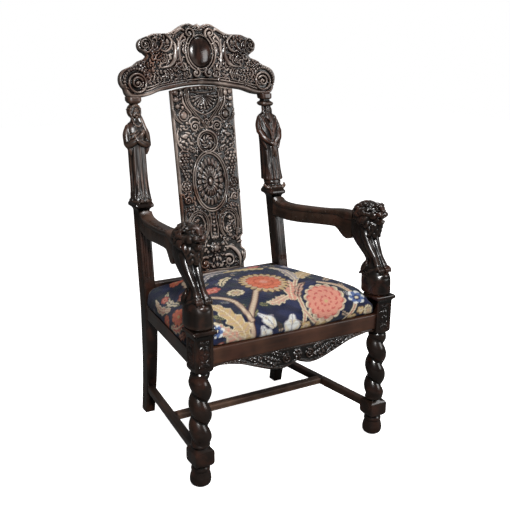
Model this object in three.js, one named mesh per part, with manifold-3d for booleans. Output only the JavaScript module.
// Carved oak throne chair in the Jacobean revival manner: barley-twist front legs, arm supports carved
// as lions, back posts carved as robed figures, a pierced-looking relief splat and an upholstered seat.
// Millimetres, +Z up, the sitter faces -Y. The origin is on the floor under the middle of the whole box.
import * as THREE from 'three';
import { mergeVertices } from 'three/addons/utils/BufferGeometryUtils.js';
import Module from 'manifold-3d';

const wasm = await Module();
wasm.setup();

// ---------------------------------------------------------------- driving dimensions
const OVERALL_HEIGHT = 1298;
const GAP = 0.3;                       // clearance between touching pieces
const MIDDLE_Y = 309.3;                  // from the front leg axes back to the middle of the whole depth

const LEG_X = 318;                     // front leg axis from the centre plane
const BLOCK_HALF = 28;                 // square blocks of the front legs
const BLOCK_BOTTOM = 360;
const BLOCK_TOP = 466;
const PLATE_TOP = 483;                 // moulded plate that carries the lion

const POST_X = 262;                    // back post axis from the centre plane, at the seat and below
const POST_TOP_X = 249;                // the posts draw together towards the crest
const POST_HALF_X = 20;
const POST_HALF_Y = 23;
const FOOT_TAPER = 4;                  // how much slimmer the post is at the floor
const FOOT_Y = 510;                    // back foot behind the front leg axes
const BEND_Y = 495;                    // back post at the bend
const BEND_Z = 460;
const LEAN = THREE.MathUtils.degToRad(10);
const COLLAR_Z = 722;                  // middle of the collar under the carved figures
const FIGURE_TOP_Z = 1060;

const RAIL_BOTTOM = 375;
const RAIL_TOP = 424;
const RAIL_FRONT_Y = -22;
const RAIL_THICK = 30;
const SIDE_RAIL_BOTTOM = 352;
const SIDE_RAIL_TOP = 398;
const SIDE_RAIL_HALF = 13;
const BACK_RAIL_TOP = 466;
const BACK_RAIL_FRONT_Y = 481;
const APRON_THICK = 20;

const STRETCHER_BOTTOM = 80;
const STRETCHER_TOP = 105;
const STRETCHER_HALF = 12.5;
const CROSS_Y = 252;

const ARM_HALF = 23;
const ARM_JOINT_Y = 125;               // plane where the arm meets the lion
const LION_X = 315;

const SPLAT_HALF = 118;
const SPLAT_THICK = 20;
const CREST_THICK = 26;

// ---------------------------------------------------------------- materials
function wood(color, roughness) {
  return new THREE.MeshStandardMaterial({ color, roughness, metalness: 0 });
}
const darkOak = wood(0x2a1d17, 0.4);
const railOak = wood(0x3f2417, 0.45);
const wornOak = wood(0x6b4a38, 0.55);
const tapestry = wood(0x2c3150, 0.9);

// ---------------------------------------------------------------- geometry helpers
function bare(geometry) {
  const copy = geometry.clone();
  copy.deleteAttribute('normal');
  copy.deleteAttribute('uv');
  return mergeVertices(copy, 1e-4);
}

function toSolid(geometry) {
  const merged = bare(geometry);
  const mesh = new wasm.Mesh({
    numProp: 3,
    vertProperties: new Float32Array(merged.attributes.position.array),
    triVerts: new Uint32Array(merged.index.array),
  });
  return new wasm.Manifold(mesh);
}

function toGeometry(solid) {
  const mesh = solid.getMesh();
  const geometry = new THREE.BufferGeometry();
  geometry.setAttribute('position', new THREE.BufferAttribute(Float32Array.from(mesh.vertProperties), 3));
  geometry.setIndex(new THREE.BufferAttribute(Uint32Array.from(mesh.triVerts), 1));
  geometry.computeVertexNormals();
  return geometry;
}

function join(geometries) {
  return geometries.map(toSolid).reduce((whole, next) => whole.add(next));
}

function cut(solid, geometries) {
  return geometries.map(toSolid).reduce((whole, tool) => whole.subtract(tool), solid);
}

// Closed skin over a list of rings with equal point counts, with a fan over each end.
function loft(rings) {
  const count = rings[0].length;
  const points = rings.flat();
  const index = [];
  for (let r = 0; r < rings.length - 1; r += 1) {
    for (let i = 0; i < count; i += 1) {
      const a = r * count + i;
      const b = r * count + (i + 1) % count;
      index.push(a, b, b + count, a, b + count, a + count);
    }
  }
  [0, rings.length - 1].forEach((r) => {
    const middle = new THREE.Vector3();
    rings[r].forEach((point) => middle.add(point));
    points.push(middle.divideScalar(count));
    for (let i = 0; i < count; i += 1) {
      const a = r * count + i;
      const b = r * count + (i + 1) % count;
      index.push(...(r === 0 ? [b, a, points.length - 1] : [a, b, points.length - 1]));
    }
  });
  const geometry = new THREE.BufferGeometry().setFromPoints(points);
  geometry.setIndex(index);
  if (signedVolume(geometry) < 0) {
    for (let t = 0; t < index.length; t += 3) {
      [index[t], index[t + 1]] = [index[t + 1], index[t]];
    }
    geometry.setIndex(index);
  }
  return geometry;
}

function signedVolume(geometry) {
  const position = geometry.attributes.position;
  const corners = [new THREE.Vector3(), new THREE.Vector3(), new THREE.Vector3()];
  let sum = 0;
  for (let t = 0; t < geometry.index.count; t += 3) {
    corners.forEach((corner, k) => corner.fromBufferAttribute(position, geometry.index.getX(t + k)));
    sum += corners[0].dot(corners[1].clone().cross(corners[2]));
  }
  return sum / 6;
}

// A level ring: a superellipse of the given half sizes, with optional flutes round it.
function ring(x, y, z, halfX, halfY, squareness = 2, sides = 16, flutes = 0, depth = 0) {
  const points = [];
  for (let i = 0; i < sides; i += 1) {
    const angle = (i + 0.5) / sides * Math.PI * 2;
    const c = Math.cos(angle);
    const s = Math.sin(angle);
    const reach = (Math.abs(c) ** squareness + Math.abs(s) ** squareness) ** (-1 / squareness);
    const swell = reach * (1 + depth * Math.cos(flutes * angle));
    points.push(new THREE.Vector3(x + halfX * swell * c, y + halfY * swell * s, z));
  }
  return points;
}

function squareRing(x, y, z, halfX, halfY) {
  return [[-1, -1], [1, -1], [1, 1], [-1, 1]]
    .map(([i, j]) => new THREE.Vector3(x + i * halfX, y + j * halfY, z));
}

// Turned work on a vertical axis: profile is a list of [radius, z], closed onto the axis at both ends.
function turned(profile, sides, x, y) {
  return loft(profile.map(([radius, z]) => ring(x, y, z, radius, radius, 2, sides)));
}

// Square work on a vertical axis: profile is a list of [half side, z].
function squared(profile, x, y) {
  return loft(profile.map(([half, z]) => squareRing(x, y, z, half, half)));
}

function ball(x, y, z, halfX, halfY, halfZ, sides = 8, rows = 4) {
  const geometry = new THREE.SphereGeometry(1, sides, rows);
  geometry.rotateX(Math.PI / 2);
  geometry.scale(halfX, halfY, halfZ);
  geometry.translate(x, y, z);
  return geometry;
}

function block(x0, x1, y0, y1, z0, z1) {
  const geometry = new THREE.BoxGeometry(x1 - x0, y1 - y0, z1 - z0);
  geometry.translate((x0 + x1) / 2, (y0 + y1) / 2, (z0 + z1) / 2);
  return geometry;
}

// A limb from one point to another, thicker or thinner towards its end.
function limb(from, to, startRadius, endRadius, sides = 5) {
  const start = new THREE.Vector3(...from);
  const end = new THREE.Vector3(...to);
  const along = end.clone().sub(start);
  const length = along.length();
  const turn = new THREE.Quaternion().setFromUnitVectors(new THREE.Vector3(0, 0, 1), along.normalize());
  const profile = [
    [startRadius * 0.6, -startRadius * 0.7], [startRadius, 0],
    [endRadius, length], [endRadius * 0.6, length + endRadius * 0.7],
  ];
  const geometry = loft(profile.map(([radius, z]) => ring(0, 0, z, radius, radius, 2, sides)));
  geometry.applyQuaternion(turn);
  geometry.translate(start.x, start.y, start.z);
  return geometry;
}

// A plan polygon, a list of [x, y], raised from one level to another.
function raised(plan, bottom, top) {
  const shape = new THREE.Shape(plan.map(([x, y]) => new THREE.Vector2(x, y)));
  const geometry = new THREE.ExtrudeGeometry(shape, { depth: top - bottom, bevelEnabled: false });
  geometry.translate(0, 0, bottom);
  return geometry;
}

// A front-view outline, a list of Vector2 (x, up), given a thickness from y0 to y1.
function board(outline, y0, y1, bevel = 0) {
  const shape = new THREE.Shape(outline);
  const geometry = new THREE.ExtrudeGeometry(shape, {
    depth: y1 - y0 - 2 * bevel,
    bevelEnabled: bevel > 0,
    bevelSize: bevel,
    bevelOffset: -bevel,
    bevelThickness: bevel,
    bevelSegments: 1,
  });
  geometry.rotateX(Math.PI / 2);
  geometry.translate(0, y1 - bevel, 0);
  return geometry;
}

function mirrored(half) {
  const other = half.slice().reverse().map((point) => new THREE.Vector2(-point.x, point.y));
  return half.concat(other.filter((point) => Math.abs(point.x) > 1e-6));
}

function smooth(points, steps) {
  return new THREE.SplineCurve(points.map(([x, y]) => new THREE.Vector2(x, y))).getPoints(steps);
}

function arc(x, y, radius, fromDegrees, toDegrees, steps) {
  const points = [];
  for (let i = 0; i <= steps; i += 1) {
    const angle = THREE.MathUtils.degToRad(fromDegrees + (toDegrees - fromDegrees) * i / steps);
    points.push(new THREE.Vector2(x + radius * Math.cos(angle), y + radius * Math.sin(angle)));
  }
  return points;
}

// ---------------------------------------------------------------- shared lines
// Back post axis: y at a height, curved below the bend and straight above it.
function postY(z) {
  if (z >= BEND_Z) {
    return BEND_Y + (z - BEND_Z) * Math.tan(LEAN);
  }
  const t = 1 - z / BEND_Z;
  const startSlope = -Math.tan(LEAN) * BEND_Z;
  return BEND_Y + startSlope * t + (FOOT_Y - BEND_Y - startSlope) * t ** 1.7;
}

// Back post axis: distance from the centre plane at a height.
function postX(z) {
  const t = Math.max(0, (z - BEND_Z) / (FIGURE_TOP_Z - BEND_Z));
  return POST_X + (POST_TOP_X - POST_X) * t;
}

function postHalf(z, half) {
  return half - FOOT_TAPER * Math.max(0, 1 - z / 300);
}

// Height along the leaning back, from a level height.
function up(z) {
  return (z - BEND_Z) / Math.cos(LEAN);
}

function sideX(y) {
  return LEG_X + (POST_X - LEG_X) * y / BEND_Y;
}

// ---------------------------------------------------------------- front legs
function frontLeg(x) {
  const foot = turned([[21, 0], [28, 6], [32, 20], [30, 34], [25, 45], [27, 54], [25, 64]], 12, x, 0);
  const lowerBlock = squared([[20, 60], [29, 71], [29, 116], [21, 124]], x, 0);
  const lowerRing = turned([[24, 120], [28, 127], [22, 134]], 10, x, 0);
  const upperRing = turned([[22, 340], [28, 348], [24, 358]], 10, x, 0);
  const upperBlock = squared([[23, 352], [BLOCK_HALF, 362], [BLOCK_HALF, BLOCK_TOP], [32, 469],
    [37, 473], [37, 480], [35, PLATE_TOP]], x, 0);
  return toGeometry(join([foot, lowerBlock, lowerRing, twist(x), upperRing, upperBlock]));
}

// Barley twist: a round rod whose centre circles the leg axis as it rises.
function twist(x) {
  const bottom = 126;
  const top = 350;
  const turns = 3.1;
  const steps = 25;
  const radius = 24;
  const offset = 8.5;
  const rings = [];
  for (let i = 0; i <= steps; i += 1) {
    const t = i / steps;
    const angle = -t * turns * Math.PI * 2;
    const throwOut = offset * Math.min(1, t * 12, (1 - t) * 12);
    rings.push(ring(x + throwOut * Math.cos(angle), throwOut * Math.sin(angle),
      bottom + t * (top - bottom), radius, radius, 2, 9));
  }
  return loft(rings);
}

// ---------------------------------------------------------------- rails and stretchers
function frontRail() {
  const reach = LEG_X - BLOCK_HALF - GAP;
  return block(-reach, reach, RAIL_FRONT_Y, RAIL_FRONT_Y + RAIL_THICK, RAIL_BOTTOM, RAIL_TOP);
}

// Serpentine lower edge, with leafy bosses and scrolls standing off the face.
function frontApron() {
  const reach = LEG_X - BLOCK_HALF - GAP;
  const top = RAIL_BOTTOM - GAP;
  const half = [new THREE.Vector2(reach, top)]
    .concat(smooth([[reach, 362], [255, 366], [195, 355], [145, 336], [93, 317], [51, 311], [20, 318], [0, 326]], 11))
    .reverse();
  const outline = half.concat(half.slice().reverse().map((p) => new THREE.Vector2(-p.x, p.y)).slice(0, -1));
  const front = RAIL_FRONT_Y + 5;
  const pieces = [board(outline, front, front + APRON_THICK)];
  pieces.push(ball(0, front, 348, 16, 8, 20, 8, 4));
  [-1, 1].forEach((side) => {
    pieces.push(strip(spiral(side * 52, 340, 5, 20, side > 0 ? 200 : -20, side * -430, 5), front, 5, 4));
    pieces.push(strip(smooth([[side * 70, 352], [side * 110, 362], [side * 160, 350]], 4), front, 6, 4));
    pieces.push(strip(smooth([[side * 150, 352], [side * 185, 368], [side * 235, 369]], 4), front, 4, 4));
    pieces.push(ball(side * 130, front, 350, 15, 6, 9, 6, 4));
  });
  return toGeometry(join(pieces));
}

// Side rail and side stretcher follow the taper of the seat; their rear ends are cut to the post.
function taperedBar(side, half, y0, y1, bottom, top) {
  const plan = [[sideX(y0) - half, y0], [sideX(y0) + half, y0], [sideX(y1) + half, y1], [sideX(y1) - half, y1]];
  return raised(plan.map(([x, y]) => [side * x, y]), bottom, top);
}

function sideRail(side) {
  const bar = taperedBar(side, SIDE_RAIL_HALF, BLOCK_HALF + GAP, 480, SIDE_RAIL_BOTTOM, SIDE_RAIL_TOP);
  return toGeometry(cut(toSolid(bar), [postCore(side, GAP)]));
}

function sideStretcher(side) {
  const bar = taperedBar(side, STRETCHER_HALF, 29 + GAP, 500, STRETCHER_BOTTOM, STRETCHER_TOP);
  return toGeometry(cut(toSolid(bar), [postCore(side, GAP)]));
}

function crossStretcher() {
  const front = CROSS_Y - 14;
  const rear = CROSS_Y + 14;
  const ends = [front, rear].map((y) => sideX(y) - STRETCHER_HALF - GAP);
  const rings = [];
  const bottom = 84;
  const top = 106;
  const easing = 4;
  [-1, 1].forEach((side) => {
    const section = [[front, bottom], [rear, bottom], [rear, top - easing], [rear - easing, top],
      [front + easing, top], [front, top - easing]];
    rings.push(section.map(([y, z]) => {
      const t = (y - front) / (rear - front);
      return new THREE.Vector3(side * THREE.MathUtils.lerp(ends[0], ends[1], t), y, z);
    }));
  });
  return loft(rings);
}

function backRail() {
  const reach = POST_X - POST_HALF_X - GAP;
  return block(-reach, reach, BACK_RAIL_FRONT_Y, BACK_RAIL_FRONT_Y + RAIL_THICK, RAIL_BOTTOM, BACK_RAIL_TOP);
}

// ---------------------------------------------------------------- back posts with robed figures
function postRing(side, z, halfX, halfY) {
  const level = Math.max(z, 0);
  return squareRing(side * postX(level), postY(level), z, halfX, halfY);
}

function postCore(side, margin) {
  return loft([-1, 60, 130, 200, 280, 360, BEND_Z, COLLAR_Z].map((z) => (
    postRing(side, z, postHalf(z, POST_HALF_X) + margin, postHalf(z, POST_HALF_Y) + margin))));
}

function backPost(side, figure) {
  const shaft = loft([0, 60, 130, 200, 280, 360, BEND_Z, COLLAR_Z].map((z) => (
    postRing(side, z, postHalf(z, POST_HALF_X), postHalf(z, POST_HALF_Y)))));
  const collar = loft([[708, 20, 23], [716, 24, 27], [719, 30, 33], [730, 32, 35], [736, 28, 31], [744, 24, 27]]
    .map(([z, halfX, halfY]) => postRing(side, z, halfX, halfY)));
  const cap = loft([[1036, 16, 16], [1046, 15, 16], [1049, 21, 21], [FIGURE_TOP_Z, 22, 22]]
    .map(([z, halfX, halfY]) => postRing(side, z, halfX, halfY)));
  return toGeometry(join([shaft, collar, cap, ...figure(side)]));
}

function robe(side, sections) {
  const flutes = 7;
  return loft(sections.map(([z, halfX, halfY, depth]) => (
    ring(side * postX(z), postY(z), z, halfX, halfY, 2.3, 14, flutes, depth))));
}

function head(side, z, halfX, halfY, halfZ) {
  const x = side * postX(z);
  const y = postY(z) - 6;
  const face = ball(x, y, z, halfX, halfY, halfZ, 8, 5);
  const nose = limb([x, y - halfY + 2, z + 3], [x, y - halfY - 1, z - 4], 2, 3.2, 4);
  return [face, nose];
}

// Hooded figure: arms crossed over the chest, long fluted robe spreading at the hem.
function hoodedFigure(side) {
  const robeSkin = robe(side, [[736, 27, 31, 0], [748, 30, 34, 0.05], [775, 26, 29, 0.06],
    [840, 25, 27, 0.07], [898, 26, 28, 0.05], [925, 30, 29, 0.02], [955, 34, 28, 0],
    [975, 31, 25, 0], [990, 20, 19, 0], [1002, 13, 14, 0], [1038, 14, 15, 0]]);
  const hood = ball(side * postX(1023), postY(1022), 1023, 22, 23, 26, 8, 5);
  const pieces = [robeSkin, hood, ...head(side, 1018, 16, 19, 21)];
  [-1, 1].forEach((hand) => {
    const x = side * postX(950);
    const y = postY(950);
    pieces.push(limb([x + hand * 30, y - 4, 968], [x + hand * 34, y - 12, 926], 11, 11));
    pieces.push(limb([x + hand * 32, y - 16, 924], [x - hand * 8, y - 32, 952 + hand * 5], 10, 7));
  });
  return pieces;
}

// Bearded figure in a round hat: hands folded low at the waist, deep folds falling in a V.
function beardedFigure(side) {
  const robeSkin = robe(side, [[736, 30, 33, 0], [748, 25, 29, 0], [766, 26, 30, 0],
    [774, 33, 36, 0.06], [813, 31, 32, 0.08], [867, 30, 30, 0.06], [900, 35, 30, 0.02],
    [945, 37, 29, 0], [975, 32, 26, 0], [994, 23, 20, 0], [1006, 13, 14, 0], [1038, 14, 15, 0]]);
  const hat = turned([[14, 1022], [24, 1028], [24, 1035], [14, 1044]], 10, side * postX(1033), postY(1033) - 2);
  const beardX = side * postX(1000);
  const beard = limb([beardX, postY(1005) - 16, 1006], [beardX, postY(985) - 22, 984], 9, 5);
  const pieces = [robeSkin, hat, beard, ...head(side, 1016, 15, 17, 18)];
  [-1, 1].forEach((hand) => {
    const x = side * postX(930);
    const y = postY(930);
    pieces.push(limb([x + hand * 30, y, 972], [x + hand * 36, y - 8, 930], 11, 12));
    pieces.push(limb([x + hand * 34, y - 14, 924], [x + hand * 6, y - 30, 898], 12, 8));
  });
  return pieces;
}

// ---------------------------------------------------------------- arms
// Sawn from a board: a side outline of [distance back, height] given a width, eased at its edges, then
// sheared outwards so that it runs from the back post to the lion.
function arm(side) {
  const topEdge = smooth([[ARM_JOINT_Y + GAP, 722], [160, 722], [200, 720], [253, 712], [310, 706], [370, 701],
    [430, 697], [482, 699], [508, 712], [528, 731]], 14);
  const lowEdge = smooth([[540, 652], [501, 645], [430, 640], [366, 644], [300, 652], [235, 659], [204, 655],
    [186, 642], [166, 627], [146, 625], [ARM_JOINT_Y + GAP, 634]], 15);
  const outline = topEdge.concat([new THREE.Vector2(560, 734), new THREE.Vector2(560, 652)], lowEdge);
  const bevel = 5;
  const profile = new THREE.ExtrudeGeometry(new THREE.Shape(outline), {
    depth: 2 * (ARM_HALF - bevel),
    bevelEnabled: true,
    bevelSize: bevel,
    bevelOffset: -bevel,
    bevelThickness: bevel,
    bevelSegments: 1,
  });
  profile.translate(0, 0, -(ARM_HALF - bevel));
  const slope = (LION_X - postX(690)) / (postY(690) - ARM_JOINT_Y);
  const position = profile.attributes.position;
  for (let i = 0; i < position.count; i += 1) {
    const y = position.getX(i);
    const z = position.getY(i);
    const x = side * (LION_X - slope * (y - ARM_JOINT_Y)) + position.getZ(i);
    position.setXYZ(i, x, y, z);
  }
  const behindPost = leaningBlock(side * POST_X, 200, -POST_HALF_Y - GAP, 200, 560, 760);
  const collarRoom = leaningBlock(side * POST_X, 60, -POST_HALF_Y - 13, 200, 707.5, 760);
  return toGeometry(cut(toSolid(profile), [behindPost, collarRoom]));
}

// A block whose front face leans with the back post: y0 and y1 are offsets from the post axis.
function leaningBlock(x, halfX, y0, y1, z0, z1) {
  return loft([z0, z1].map((z) => [[-1, y0], [1, y0], [1, y1], [-1, y1]]
    .map(([i, y]) => new THREE.Vector3(x + i * halfX, postY(z) + y, z))));
}

// ---------------------------------------------------------------- lions
function lion(side) {
  const x = side * LION_X;
  const body = loft([[PLATE_TOP + GAP, 16, 35, 46], [492, 17, 37, 52], [508, 19, 37, 53], [522, 22, 32, 48],
    [546, 27, 34, 52], [562, 29, 32, 47], [575, 30, 26, 39], [590, 31, 22, 33],
    [603, 43, 22, 34], [618, 62, 23, 44], [640, 80, 25, 52], [662, 86, 29, 58], [690, 84, 34, 60]]
    .map(([z, y, halfX, halfY]) => ring(x, y, z, halfX, halfY, 2.4, 10)));
  const mane = loft([[668, 76, 26, 40], [690, 72, 37, 56], [722, 71, 41, 62],
    [752, 70, 36, 52], [775, 68, 12, 20]]
    .map(([z, y, halfX, halfY]) => ring(x, y, z, halfX, halfY, 2, 12, 6, 0.05)));
  const pieces = [body, mane];
  pieces.push(ball(x, 26, 728, 27, 30, 30, 8, 5));
  pieces.push(limb([x, 24, 738], [x, 6, 732], 15, 13, 6));
  pieces.push(limb([x, 6, 742], [x, -2, 737], 7, 8));
  pieces.push(limb([x, 26, 706], [x, 16, 701], 13, 10));
  [-1, 1].forEach((s) => {
    pieces.push(ball(x + s * 11, 3, 728, 10, 11, 9, 6, 4));
    pieces.push(ball(x + s * 30, 46, 748, 9, 8, 11, 6, 4));
    pieces.push(limb([x + s * 13, 42, 660], [x + s * 14, 2, 590], 12, 10));
  });
  const behindJoint = block(x - 100, x + 100, ARM_JOINT_Y, ARM_JOINT_Y + 100, 500, 800);
  return toGeometry(cut(join(pieces), [behindJoint]));
}

// ---------------------------------------------------------------- relief parts for the leaning back
// A raised strip of triangular section that follows a front-view line; its base is sunk in the board.
function strip(line, faceY, halfWidth, height) {
  const rings = line.map((point, i) => {
    const before = line[Math.max(i - 1, 0)];
    const after = line[Math.min(i + 1, line.length - 1)];
    const along = after.clone().sub(before).normalize();
    const taper = 0.35 + 0.65 * Math.sin(Math.PI * Math.min(1, (i + 1) / (line.length + 1)));
    const acrossX = -along.y * halfWidth * taper;
    const acrossUp = along.x * halfWidth * taper;
    return [
      new THREE.Vector3(point.x + acrossX, faceY + 2, point.y + acrossUp),
      new THREE.Vector3(point.x, faceY - height * taper, point.y),
      new THREE.Vector3(point.x - acrossX, faceY + 2, point.y - acrossUp),
    ];
  });
  return loft(rings);
}

function spiral(x, z, innerRadius, outerRadius, startDegrees, sweepDegrees, steps) {
  const points = [];
  for (let i = 0; i <= steps; i += 1) {
    const t = i / steps;
    const angle = THREE.MathUtils.degToRad(startDegrees + sweepDegrees * t);
    const radius = outerRadius + (innerRadius - outerRadius) * t;
    points.push(new THREE.Vector2(x + radius * Math.cos(angle), z + radius * Math.sin(angle)));
  }
  return points;
}

// A raised oval with petals: rings of [fraction of the half size, height, petal depth].
function rosette(x, z, halfX, halfZ, faceY, petals, profile) {
  const sides = petals * 2;
  const rings = profile.map(([fraction, height, depth]) => {
    const points = [];
    for (let i = 0; i < sides; i += 1) {
      const angle = i / sides * Math.PI * 2;
      const lift = height + (i % 2 === 0 ? depth : -depth);
      points.push(new THREE.Vector3(x + halfX * fraction * Math.cos(angle), faceY - lift,
        z + halfZ * fraction * Math.sin(angle)));
    }
    return points;
  });
  return loft(rings);
}

// ---------------------------------------------------------------- splat
function splat() {
  const front = -SPLAT_THICK / 2;
  const bottom = up(BACK_RAIL_TOP) + 3;
  const half = [new THREE.Vector2(0, bottom), new THREE.Vector2(108, bottom)]
    .concat(arc(88, up(516), 33, -50, 60, 7))
    .concat([new THREE.Vector2(100, up(580)), new THREE.Vector2(109, up(592))])
    .concat([new THREE.Vector2(SPLAT_HALF - 7, up(800)), new THREE.Vector2(SPLAT_HALF - 1, up(1068))])
    .concat([new THREE.Vector2(SPLAT_HALF - 1, up(1085)), new THREE.Vector2(60, up(1095))])
    .concat([new THREE.Vector2(0, up(1099))]);
  const outline = half.concat(half.slice(1, -1).reverse().map((p) => new THREE.Vector2(-p.x, p.y)));
  const pieces = [board(outline, front, -front)];
  const petals = [[1, -2, 0], [1, 5, 0], [0.8, 2.5, 0.8], [0.4, 4.5, 2], [0.25, 2.5, 0], [0.15, 8, 0]];
  pieces.push(rosette(0, up(795), 52, 88, front, 12, petals));
  pieces.push(rosette(0, up(951), 30, 32, front, 8, [[1, -2, 0], [1, 3, 1], [0.6, 4, 2], [0.2, 5, 0]]));
  pieces.push(rosette(0, up(1042), 54, 34, front, 8, [[1, -2, 0], [0.95, 4, 1.5], [0.2, 6, 0]]));
  pieces.push(rosette(0, up(560), 24, 24, front, 6, [[1, -2, 0], [0.95, 4, 1], [0.25, 8, 0]]));
  pieces.push(strip(smooth([[0, up(690)], [0, up(650)], [0, up(592)]], 4), front, 9, 7));
  [-1, 1].forEach((side) => {
    const line = (points, steps) => smooth(points.map(([x, z]) => [side * x, up(z)]), steps);
    pieces.push(strip(line([[101, 604], [103, 800], [108, 1070]], 2), front, 7, 4));
    pieces.push(strip(spiral(side * 66, up(972), 6, 24, side > 0 ? 120 : 60, side * -500, 6), front, 6, 6));
    pieces.push(strip(spiral(side * 78, up(706), 6, 25, side > 0 ? 90 : 90, side * 500, 6), front, 6, 6));
    pieces.push(strip(line([[18, 700], [52, 680], [58, 620], [30, 590]], 5), front, 8, 6));
    pieces.push(strip(spiral(side * 62, up(520), 7, 34, side > 0 ? 100 : 80, side * -480, 7), front, 8, 7));
    [[82, 760]].forEach(([x, z]) => {
      pieces.push(rosette(side * x, up(z), 15, 15, front, 4, [[1, -2, 0], [0.9, 3, 1], [0.2, 5, 0]]));
    });
    [[74, 908, 12], [78, 886, 11], [90, 1002, 9], [92, 660, 12]].forEach(([x, z, r]) => {
      pieces.push(rosette(side * x, up(z), r, r, front, 3, [[1, -2, 0], [0.9, 3, 0], [0.3, 6, 0]]));
    });
  });
  return toGeometry(join(pieces));
}

// ---------------------------------------------------------------- crest rail
function crestHalf() {
  const flat = (points) => points.map((p) => (p instanceof THREE.Vector2 ? p : new THREE.Vector2(...p)));
  const under = smooth([[0, 1101], [60, 1097], [120, 1087.5], [158, 1081], [195, 1069], [225, 1064.5], [262, 1064.5],
    [276, 1077]], 10);
  const volute = arc(255, 1120, 37, -48, 70, 6);
  const leaf = flat([[238, 1166], [220, 1179], [198, 1186], [190, 1194]]);
  const upper = arc(194, 1227, 24, -75, 68, 5);
  const crown = smooth([[196, 1252], [182, 1257], [160, 1264], [118, 1265], [90, 1274], [69, 1286], [49, 1296],
    [28, 1297], [12, 1290], [0, OVERALL_HEIGHT]], 10);
  return under.concat(volute, leaf, upper, crown);
}

function crestRail() {
  const front = -CREST_THICK / 2;
  const half = crestHalf().map((p) => new THREE.Vector2(p.x, up(p.y)));
  const outline = half.concat(half.slice(1, -1).reverse().map((p) => new THREE.Vector2(-p.x, p.y)));
  const face = front;
  const pieces = [board(outline, face, -front)];
  const under = smooth([[0, 1110], [60, 1106], [120, 1098], [158, 1093], [195, 1081], [230, 1076], [262, 1078]], 7);
  pieces.push(rosette(0, up(1205), 27, 38, face, 6, [[1, -2, 0], [1, 7, 0], [0.72, 4, 0],
    [0.6, 9, 0], [0.2, 12, 0]]));
  [-1, 1].forEach((side) => {
    const line = (points, steps) => smooth(points.map(([x, z]) => [side * x, up(z)]), steps);
    pieces.push(strip(under.map((p) => new THREE.Vector2(side * p.x, up(p.y))), face, 14, 9));
    pieces.push(strip(spiral(side * 255, up(1121), 7, 31, side > 0 ? 150 : 30, side * -560, 8), face, 8, 8));
    pieces.push(strip(spiral(side * 193, up(1228), 5, 19, side > 0 ? 200 : -20, side * -520, 6), face, 7, 7));
    pieces.push(strip(spiral(side * 30, up(1262), 5, 17, side > 0 ? 240 : -60, side * 470, 5), face, 6, 8));
    pieces.push(strip(line([[48, 1130], [54, 1200], [46, 1262]], 4), face, 8, 8));
    pieces.push(strip(line([[60, 1130], [110, 1112], [170, 1122], [215, 1100]], 5), face, 8, 7));
    pieces.push(strip(line([[180, 1190], [200, 1150], [225, 1130]], 3), face, 12, 8));
    pieces.push(ball(side * 108, face, up(1168), 28, 14, 26, 8, 4));
    pieces.push(ball(side * 98, face, up(1206), 20, 15, 24, 8, 4));
    pieces.push(limb([side * 112, face - 4, up(1214)], [side * 150, face - 3, up(1240)], 9, 6));
  });
  return toGeometry(join(pieces));
}

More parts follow.
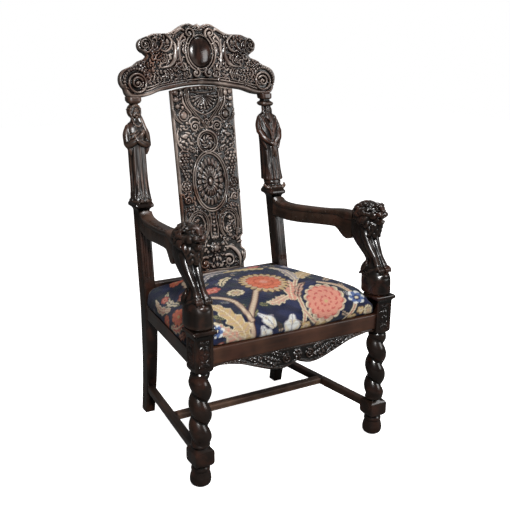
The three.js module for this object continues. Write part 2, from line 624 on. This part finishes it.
// ---------------------------------------------------------------- seat
// Stuffed seat over the rails: crowned on top, its sides following the taper, cut round the legs and posts.
function seatCushion() {
  const corner = (x, y) => new THREE.Vector2(x, y);
  const frontY = RAIL_FRONT_Y - 2;
  const rearY = BACK_RAIL_FRONT_Y - 2;
  const outX = (y) => sideX(y) + SIDE_RAIL_HALF + 4;
  const middle = corner(0, (frontY + rearY) / 2);
  const border = [];
  const steps = 7;
  for (let i = 0; i < steps; i += 1) border.push(corner(THREE.MathUtils.lerp(-outX(frontY), outX(frontY), i / steps), frontY));
  for (let i = 0; i < steps; i += 1) {
    const y = THREE.MathUtils.lerp(frontY, rearY, i / steps);
    border.push(corner(outX(y), y));
  }
  for (let i = 0; i < steps; i += 1) border.push(corner(THREE.MathUtils.lerp(outX(rearY), -outX(rearY), i / steps), rearY));
  for (let i = 0; i < steps; i += 1) {
    const y = THREE.MathUtils.lerp(rearY, frontY, i / steps);
    border.push(corner(-outX(y), y));
  }
  const levels = [[SIDE_RAIL_TOP + GAP, 0], [452, 2], [474, 14], [492, 40], [508, 92], [520, 190]];
  const rings = levels.map(([z, inset]) => border.map((p) => {
    const fromMiddle = p.clone().sub(middle);
    const shrinkX = 1 - inset / outX(200);
    const shrinkY = 1 - inset / ((rearY - frontY) / 2);
    return new THREE.Vector3(fromMiddle.x * shrinkX, middle.y + fromMiddle.y * shrinkY, z);
  }));
  const room = 2;
  const reach = LEG_X - BLOCK_HALF - GAP;
  const tools = [block(-reach - 5, reach + 5, -60, RAIL_FRONT_Y + RAIL_THICK + GAP, 380, RAIL_TOP + GAP)];
  [-1, 1].forEach((side) => {
    const legX = side * LEG_X;
    const blockReach = BLOCK_HALF + room;
    tools.push(block(legX - blockReach, legX + blockReach + 30 * (side > 0 ? 1 : 0), -60, blockReach, 380, BLOCK_TOP - 2));
    tools.push(block(legX - blockReach - 30 * (side < 0 ? 1 : 0), legX + blockReach, -60, blockReach, 380, BLOCK_TOP - 2));
    tools.push(raised([[-42, -80], [42, -80], [42, 60], [34, 76], [-34, 76], [-42, 60]]
      .map(([x, y]) => [side * LION_X + x, y]), BLOCK_TOP - 4, 560));
    tools.push(postCore(side, room));
    tools.push(block(side * (POST_X + 60) - 60, side * (POST_X + 60) + 60, postY(430) - POST_HALF_Y - 8, 560, 380, 560));
  });
  return toGeometry(cut(toSolid(loft(rings)), tools));
}

// ---------------------------------------------------------------- assembly
const throne = new THREE.Group();
throne.position.y = -MIDDLE_Y;
const back = new THREE.Group();
back.position.set(0, BEND_Y, BEND_Z);
back.rotation.x = -LEAN;
throne.add(back);

function place(parent, name, geometry, material) {
  const mesh = new THREE.Mesh(geometry, material);
  mesh.name = name;
  parent.add(mesh);
}

place(back, 'crest_rail', crestRail(), darkOak);
place(back, 'splat', splat(), darkOak);
place(throne, 'back_post_left', backPost(-1, hoodedFigure), darkOak);
place(throne, 'back_post_right', backPost(1, beardedFigure), darkOak);
place(throne, 'front_rail', frontRail(), railOak);
place(throne, 'front_apron', frontApron(), darkOak);
place(throne, 'back_rail', backRail(), darkOak);
place(throne, 'cross_stretcher', crossStretcher(), wornOak);
place(throne, 'seat_cushion', seatCushion(), tapestry);
[['left', -1], ['right', 1]].forEach(([name, side]) => {
  place(throne, `front_leg_${name}`, frontLeg(side * LEG_X), darkOak);
  place(throne, `lion_support_${name}`, lion(side), darkOak);
  place(throne, `arm_${name}`, arm(side), darkOak);
  place(throne, `side_rail_${name}`, sideRail(side), darkOak);
  place(throne, `side_stretcher_${name}`, sideStretcher(side), wornOak);
});

export default throne;
